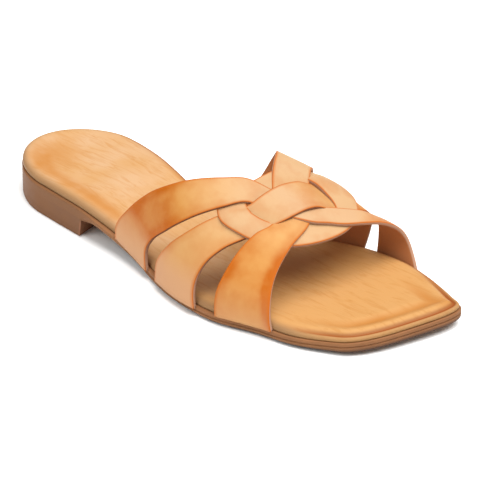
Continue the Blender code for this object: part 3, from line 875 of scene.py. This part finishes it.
# Straps
toEdge = 1000.0  # stands for the sole's edge, wherever it is
straps = {
    "thick": 1.8,
    "under": 0.2,  # lift of the lowest layer, then for each layer above it
    "layer": 1.2,
    "crown": 0.25,
    "narrowest": 4.0,
    "rows": 150,
    "topColumns": 18,
    "underColumns": 8,
    # cut edge: in from the edge, up from the underside, part of the leather it belongs to,
    # which is 0 on the grain and 2 on the flesh side
    "edge": np.array([
        (0.60, 1.80, 0.00),
        (0.30, 1.75, 0.10),
        (0.10, 1.60, 0.22),
        (0.00, 1.35, 0.45),
        (0.00, 0.40, 0.80),
        (0.15, 0.08, 1.05),
        (0.50, 0.00, 1.50),
    ]),
    # along and across of the rear edge, along and across of the front edge, layer of each
    "rearOuter": np.array([
        (93.2, -toEdge, 120.2, -toEdge, 0.0, 0.0),
        (94.0, -71.0, 119.2, -71.0, 0.0, 0.0),
        (101.8, -58.5, 122.6, -63.5, 0.0, 0.0),
        (114.0, -44.5, 133.0, -53.0, 0.0, 0.0),
        (130.0, -31.5, 145.0, -40.5, 0.2, 0.5),
        (146.0, -18.0, 155.5, -29.0, 1.0, 1.4),
        (154.0, -10.5, 161.0, -21.5, 1.2, 1.1),
        (164.0, -8.0, 167.0, -19.0, 1.0, 0.2),
        (174.0, -7.0, 176.0, -16.5, 1.1, 1.0),
        (178.6, -5.0, 185.3, -11.3, 1.0, 1.9),
        (180.6, 0.4, 188.8, -6.4, 1.1, 1.75),
        (183.6, 4.8, 191.8, -2.0, 1.4, 1.6),
        (188.4, 14.0, 196.1, 9.5, 1.1, 1.3),
        (190.4, 25.0, 199.0, 22.5, -0.8, 0.8),
        (187.4, 39.0, 203.6, 34.0, 0.0, 1.2),
        (186.5, toEdge, 211.0, toEdge, 0.0, 0.0),
    ]),
    "rearInner": np.array([
        (110.0, toEdge, 140.0, toEdge, 0.0, 0.0),
        (120.0, 57.0, 145.0, 57.0, 0.0, 0.0),
        (129.5, 45.0, 151.0, 46.0, 0.0, 0.3),
        (138.5, 29.0, 156.5, 32.0, 0.9, 1.8),
        (149.8, 11.0, 162.0, 18.5, 1.2, 2.0),
        (155.3, 2.5, 167.0, 11.5, 1.0, 0.7),
        (161.6, -6.0, 173.5, 2.0, 0.5, 0.5),
        (168.6, -14.5, 180.0, -5.5, 0.3, 0.6),
        (174.2, -22.5, 184.8, -13.5, 0.2, 1.0),
        (172.9, -33.0, 187.6, -29.5, 1.4, 1.2),
        (171.8, -43.0, 190.0, -41.0, 0.6, 0.4),
        (171.0, -54.0, 192.6, -49.0, 0.0, 0.0),
        (170.2, -63.0, 196.4, -57.0, 0.0, 0.0),
        (171.0, -toEdge, 199.8, -toEdge, 0.0, 0.0),
    ]),
    "middle": np.array([
        (128.7, -toEdge, 159.8, -toEdge, 0.0, 0.0),
        (129.6, -70.0, 158.6, -67.0, 0.0, 0.0),
        (137.2, -57.5, 160.4, -56.4, 0.0, 0.0),
        (146.8, -45.5, 165.2, -45.7, 0.0, 0.0),
        (154.8, -34.0, 171.4, -35.0, -0.2, -0.2),
        (160.8, -25.0, 175.4, -24.5, -0.3, 0.0),
        (162.3, -21.4, 176.6, -21.6, 0.7, 0.8),
        (162.9, -16.8, 177.7, -18.0, 1.9, 1.6),
        (163.2, -13.0, 178.3, -15.0, 2.4, 2.1),
        (164.6, -1.0, 180.9, -2.0, 2.7, 2.2),
        (165.7, 4.4, 183.4, 2.6, 2.1, 0.7),
        (167.2, 9.5, 185.3, 7.0, 0.5, -0.7),
        (168.6, 20.0, 186.6, 18.0, -0.6, -1.4),
        (165.5, 33.0, 185.8, 31.0, -0.2, -1.2),
        (158.5, 46.0, 182.7, 43.0, 0.0, 0.0),
        (151.0, toEdge, 179.4, toEdge, 0.0, 0.0),
    ]),
    # share of the run, burnish, paleness (painted light on the tops), painted floor sheen of the
    # lower ends, rub at the rear edge, rub at the front edge
    "tones": {
        "rearOuter": np.array([
            (0.00, 0.00, 0.0, 1.0, 0.0, 0.0),
            (0.07, 0.45, 0.0, 0.5, 0.1, 0.1),
            (0.13, 0.88, 0.0, 0.0, 0.3, 0.3),
            (0.20, 0.72, 0.0, 0.0, 0.4, 0.3),
            (0.28, 0.42, 0.0, 0.0, 0.4, 0.2),
            (0.36, 0.18, 0.4, 0.0, 0.2, 0.1),
            (0.45, 0.05, 0.8, 0.0, 0.1, 0.0),
            (0.60, 0.00, 1.0, 0.1, 0.0, 0.0),
            (0.75, 0.05, 1.0, 0.2, 0.0, 0.0),
            (0.85, 0.40, 0.3, 0.2, 0.2, 0.2),
            (1.00, 0.10, 0.0, 0.8, 0.0, 0.0),
        ]),
        "rearInner": np.array([
            (0.00, 0.00, 0.0, 0.9, 0.0, 0.0),
            (0.10, 0.30, 0.0, 0.4, 0.2, 0.2),
            (0.20, 0.50, 0.0, 0.0, 0.3, 0.2),
            (0.30, 0.10, 0.7, 0.0, 0.1, 0.1),
            (0.45, 0.00, 1.0, 0.0, 0.0, 0.0),
            (0.60, 0.10, 0.5, 0.0, 0.0, 0.1),
            (0.70, 0.22, 0.2, 0.0, 0.2, 0.3),
            (0.80, 0.30, 0.0, 0.0, 0.3, 0.7),
            (0.88, 0.62, 0.0, 0.0, 0.3, 1.2),
            (0.94, 0.40, 0.0, 0.2, 0.2, 0.9),
            (1.00, 0.20, 0.0, 0.5, 0.0, 0.4),
        ]),
        "middle": np.array([
            (0.00, 0.00, 0.0, 0.9, 0.0, 0.0),
            (0.06, 0.10, 0.0, 0.8, 0.1, 0.1),
            (0.14, 0.20, 0.0, 0.3, 0.4, 0.2),
            (0.24, -0.05, 0.4, 0.0, 0.3, 0.2),
            (0.34, -0.05, 0.7, 0.0, 0.1, 0.1),
            (0.44, 0.00, 0.8, 0.0, 0.0, 0.0),
            (0.52, 0.00, 1.0, 0.1, 0.0, 0.1),
            (0.60, 0.15, 0.6, 0.0, 0.0, 0.3),
            (0.75, 0.40, 0.1, 0.0, 0.2, 0.2),
            (0.90, 0.30, 0.0, 0.4, 0.2, 0.2),
            (1.00, 0.00, 0.0, 0.9, 0.0, 0.0),
        ]),
        "ring": np.array([
            (0.00, 0.00, 0.9, 0.0, 0.0, 0.0),
            (0.25, 0.05, 0.9, 0.0, 0.1, 0.1),
            (0.40, -0.10, 0.9, 0.0, 0.1, 0.2),
            (0.50, -0.20, 0.9, 0.0, 0.1, 0.2),
            (0.60, -0.20, 0.9, 0.0, 0.1, 0.2),
            (0.75, 0.05, 0.9, 0.0, 0.1, 0.15),
            (1.00, 0.00, 0.9, 0.0, 0.0, 0.0),
        ]),
    },
    # how dark the painted shade on each strap's cut edge is away from its ends, and the share of
    # the run where that fades
    "edgeShade": {
        "rearOuter": (0.75, 0.48),
        "rearInner": (0.0, 0.5),
        "middle": (0.7, 1.2),
        "ring": (0.2, 1.2),
    },
    "edgeShadeFade": 0.08,
    "rubMm": (1.2, 6.5),  # widths of the rub beside the edges and of the line along them
    "lineMm": (0.25, 1.05),
    "line": 0.95,
    # parts of the leather that are crowned, show the grain, take the painted edge shade, are flesh
    "crownedTo": 0.5,
    "grainTo": 0.3,
    "shadedParts": (0.2, 1.2),
    "flesh": 2.0,
}
ring = {
    "along": 168.5,  # middle of the oval
    "across": -5.3,
    "halfWide": 31.0,
    "frontPower": 2.0,
    "rearPower": 4.0,
    "rearMost": 0.6,  # share of the half length behind that the band may fill
    "rows": 240,
    "front": 26.5,
    # angle from the front towards the inner side, layer, width of the band, half length behind
    "table": np.array([
        (-180.0, 0.0, 8.0, 13.5),
        (-165.0, 0.0, 8.0, 15.0),
        (-150.0, 0.0, 9.0, 17.0),
        (-138.0, 0.1, 10.2, 18.0),
        (-125.0, 0.3, 11.2, 17.8),
        (-112.0, 0.9, 11.6, 17.6),
        (-95.0, 1.1, 11.4, 17.5),
        (-82.0, 0.8, 11.6, 17.5),
        (-65.0, 0.1, 12.0, 17.0),
        (-45.0, 0.0, 12.0, 16.0),
        (0.0, 0.0, 11.0, 15.0),
        (22.0, -0.4, 8.8, 14.5),
        (35.0, -0.2, 9.0, 14.2),
        (46.0, 0.2, 10.6, 14.0),
        (58.0, 0.8, 12.6, 13.8),
        (75.0, 1.4, 14.2, 13.5),
        (88.0, 1.5, 14.7, 13.2),
        (97.0, 1.2, 14.7, 13.0),
        (106.0, 0.8, 14.0, 13.0),
        (120.0, 0.4, 11.5, 12.8),
        (145.0, 0.0, 8.0, 12.8),
        (180.0, 0.0, 8.0, 13.5),
    ]),
}


def strapEdges(table, rows):
    # rear and front edge of a strap as (along, across, layer), cubics through the table's rows
    table = table.copy()
    for column in (0, 2):
        reach = sideReach(table[:, column], table[:, column + 1] > 0)
        table[:, column + 1] = np.clip(table[:, column + 1], -reach, reach)
    run = runAlong((table[:, :2] + table[:, 2:4]) / 2)
    at = np.linspace(0, run[-1], rows + 1)
    columns = [curveThrough(run, column, at) for column in table.T]
    return [columns[k] for k in (0, 1, 4)], [columns[k] for k in (2, 3, 5)]


def ringEdges():
    # inner and outer edge of the ring: half an ellipse in front, half a square-cornered one behind
    angle = np.linspace(-np.pi, np.pi, ring["rows"] + 1)
    stations = np.radians(ring["table"][:, 0])
    layer, width, rear = (curveThrough(stations, column, angle) for column in ring["table"].T[1:])
    ahead = np.cos(angle) > 0
    halfLong = np.where(ahead, ring["front"], rear)
    power = 2 / np.where(ahead, ring["frontPower"], ring["rearPower"])
    front, side = (np.sign(t) * np.abs(t) ** power for t in (np.cos(angle), np.sin(angle)))
    edges = []
    for band in (width, 0 * width):
        bandAlong = np.where(ahead, band, np.minimum(band, ring["rearMost"] * rear))
        along = ring["along"] + (halfLong - bandAlong) * front
        across = ring["across"] + (ring["halfWide"] - band) * side
        edges.append((along, across, layer))
    return edges


def makeStrap(name, edges, closed, look, material):
    # the section's outline, in from each edge and up from the underside, carried along the strap
    rear, front = edges
    lines = [laid(*(np.array(values)[:, None] for values in edge)) for edge in edges]
    width = np.linalg.norm(lines[0] - lines[1], axis=2)
    cut = straps["edge"]
    top = np.linspace(0, 1, straps["topColumns"] + 1)[1:-1]
    under = np.linspace(1, 0, straps["underColumns"] + 1)[1:-1]
    cutIn = cut[:, 0] / np.maximum(width, straps["narrowest"])
    first, final = cutIn[:, :1], 1 - cutIn[:, :1]
    share = np.concatenate([
        cutIn[:, ::-1],
        first + (final - first) * top,
        1 - cutIn,
        cutIn[:, -1:] + (1 - 2 * cutIn[:, -1:]) * under,
    ], axis=1)
    up = np.concatenate([cut[::-1, 1], straps["thick"] + 0 * top, cut[:, 1], 0 * under])
    part = np.concatenate([cut[::-1, 2], 0 * top, cut[:, 2], straps["flesh"] + 0 * under])
    crown = straps["crown"] * (1 - (2 * share - 1) ** 2) * (part < straps["crownedTo"])
    along, across, layer = (
        a[:, None] * (1 - share) + b[:, None] * share for a, b in zip(rear, front)
    )
    points = laid(along, across, straps["under"] + straps["layer"] * layer + up + crown)
    rows, columns = share.shape
    number = np.arange(rows * columns).reshape(rows, columns)
    beside = np.roll(number, -1, axis=1)
    faces = np.stack([number[:-1], beside[:-1], beside[1:], number[1:]], axis=-1)
    faces = faces.reshape(-1, 4).tolist()
    if not closed:
        faces += [number[0][::-1].tolist(), number[-1].tolist()]
    run = runAlong(points[:, columns // 4])  # a line along the grain side
    run = run / run[-1]
    tones = straps["tones"][look].T
    burnish, pale, floorSheen, rearRub, frontRub = (
        np.interp(run, tones[0], tone)[:, None] for tone in tones[1:]
    )
    nearRear, nearFront = (1 - ramp(d * width, *straps["rubMm"]) for d in (share, 1 - share))
    line = 1 - ramp(np.minimum(share, 1 - share) * width, *straps["lineMm"])
    grain = part[None] < straps["grainTo"]
    # painted shade on the cut edges: the parts that take it, how dark, where it fades
    low, high = straps["shadedParts"]
    amount, until = straps["edgeShade"][look]
    fades = ramp(run, until - straps["edgeShadeFade"], until + straps["edgeShadeFade"])[:, None]
    fields = {
        "part": np.broadcast_to(part, share.shape),
        "edge": straps["line"] * line * grain,
        # painted reflection of the white floor on the lower ends
        "floorSheen": floorSheen * grain,
        "burnish": np.clip(burnish + rearRub * nearRear + frontRub * nearFront, -1, 1) * grain,
        # painted light: paler where the strap runs over the top
        "pale": pale * grain,
        # painted shade along the cut edges
        "edgeShade": amount * (1 - fades) * (1 - floorSheen) * ((part > low) & (part < high)),
    }
    piece = makePiece(name, points.reshape(-1, 3), faces, material, fields)
    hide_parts("upper")


makeOutsole(makeTrimmedStock("trimmed_sole_rubber", soleLook))
makeHeel(makeTrimmedStock("waxed_heel_stock", heelLook))
makeFootbed(makeFootbedLeather())
strapLeather = makeStrapLeather()
for name, look in (("rear_outer", "rearOuter"), ("rear_inner", "rearInner"), ("middle", "middle")):
    makeStrap("strap_" + name, strapEdges(straps[look], straps["rows"]), False, look, strapLeather)
makeStrap("strap_ring", ringEdges(), True, "ring", strapLeather)

# Photo camera: turn, height, distance and focal length in pixels of the square frame,
# and what it looks at
view = {
    "turn": 44.14,
    "raise": 28.26,
    "distance": 1381.91,
    "focal": 2106.04,
    "zoom": 1.40,
    "aim": (130.0, 0.0, 10.0),
    "centre": (9.0, 2.3),
    "frame": 480,
    "sensor": 36.0,
    "farthest": 20.0,  # metres
}


def posed(right, back, place):
    # a matrix whose columns are right, up, back and the place
    columns = np.column_stack([right, np.cross(back, right), back, place])
    return Matrix(columns.tolist() + [[0, 0, 0, 1]])


def makeCamera():
    # looks back along the direction given by turn and height, from the distance beyond the aim
    turn, high = np.radians([view["turn"], view["raise"]])
    back = np.array([np.sin(turn) * np.cos(high), -np.cos(turn) * np.cos(high), np.sin(high)])
    right = np.array([np.cos(turn), np.sin(turn), 0])
    data = bpy.data.cameras.new("photo_camera")
    data.sensor_width = view["sensor"]
    data.lens = view["focal"] * view["zoom"] * view["sensor"] / view["frame"]
    data.shift_x = view["centre"][0] * view["zoom"] / view["frame"]
    data.shift_y = -view["centre"][1] * view["zoom"] / view["frame"]
    data.clip_end = view["farthest"]
    camera = bpy.data.objects.new("photo_camera", data)
    place = toWorld(np.array(view["aim"]) + back * view["distance"])
    camera.matrix_world = posed(right, back, place)
    bpy.context.scene.collection.objects.link(camera)
    bpy.context.scene.camera = camera


# White studio: a wide floor, a bright even surround, a broad soft light from above and a soft box
studio = {
    "floorHalf": 4.0,
    "floorColour": "#FBFBFA",
    "floorRoughness": 0.8,
    "surround": 0.42,
    # where it shines from, strength, spread in degrees
    "sun": ((0.28, 0.14, 1.0), 4.5, 60.0),
    # place in metres, size, power; it faces the shoe
    "box": ((-0.15, -1.05, 0.95), 0.9, 7.2),
}


def makeStudio():
    # a square floor, two lights turned to the middle of the shoe, an even white world
    half = studio["floorHalf"]
    corners = [(-half, -half, 0), (half, -half, 0), (half, half, 0), (-half, half, 0)]
    mesh = bpy.data.meshes.new("floor")
    mesh.from_pydata(corners, [], [(0, 1, 2, 3)])
    material, _, shader = newMaterial("white_floor_paper")  # matt paper: bright, with no sheen
    shader.inputs["Base Color"].default_value = linear(studio["floorColour"])
    shader.inputs["Roughness"].default_value = studio["floorRoughness"]
    mesh.materials.append(material)
    floor = bpy.data.objects.new("floor", mesh)
    bpy.context.scene.collection.objects.link(floor)
    sunFrom, strength, spread = studio["sun"]
    sun = bpy.data.lights.new("broad_light", "SUN")
    sun.energy, sun.angle = strength, np.radians(spread)
    boxFrom, size, power = studio["box"]
    box = bpy.data.lights.new("soft_box", "AREA")
    box.size, box.energy = size, power
    for data, place in ((sun, sunFrom), (box, boxFrom)):
        back = np.array(place) / np.linalg.norm(place)
        right = np.cross([0, 0, 1], back)
        light = bpy.data.objects.new(data.name, data)
        light.matrix_world = posed(right / np.linalg.norm(right), back, place)
        bpy.context.scene.collection.objects.link(light)
    world = bpy.data.worlds.new("white_surround")
    world.use_nodes = True
    background = world.node_tree.nodes["Background"]
    background.inputs["Color"].default_value = (1, 1, 1, 1)
    background.inputs["Strength"].default_value = studio["surround"]
    bpy.context.scene.world = world
    bpy.context.scene.view_settings.view_transform = "Standard"  # white paper stays white


makeCamera()
makeStudio()
print("camera and studio ready")
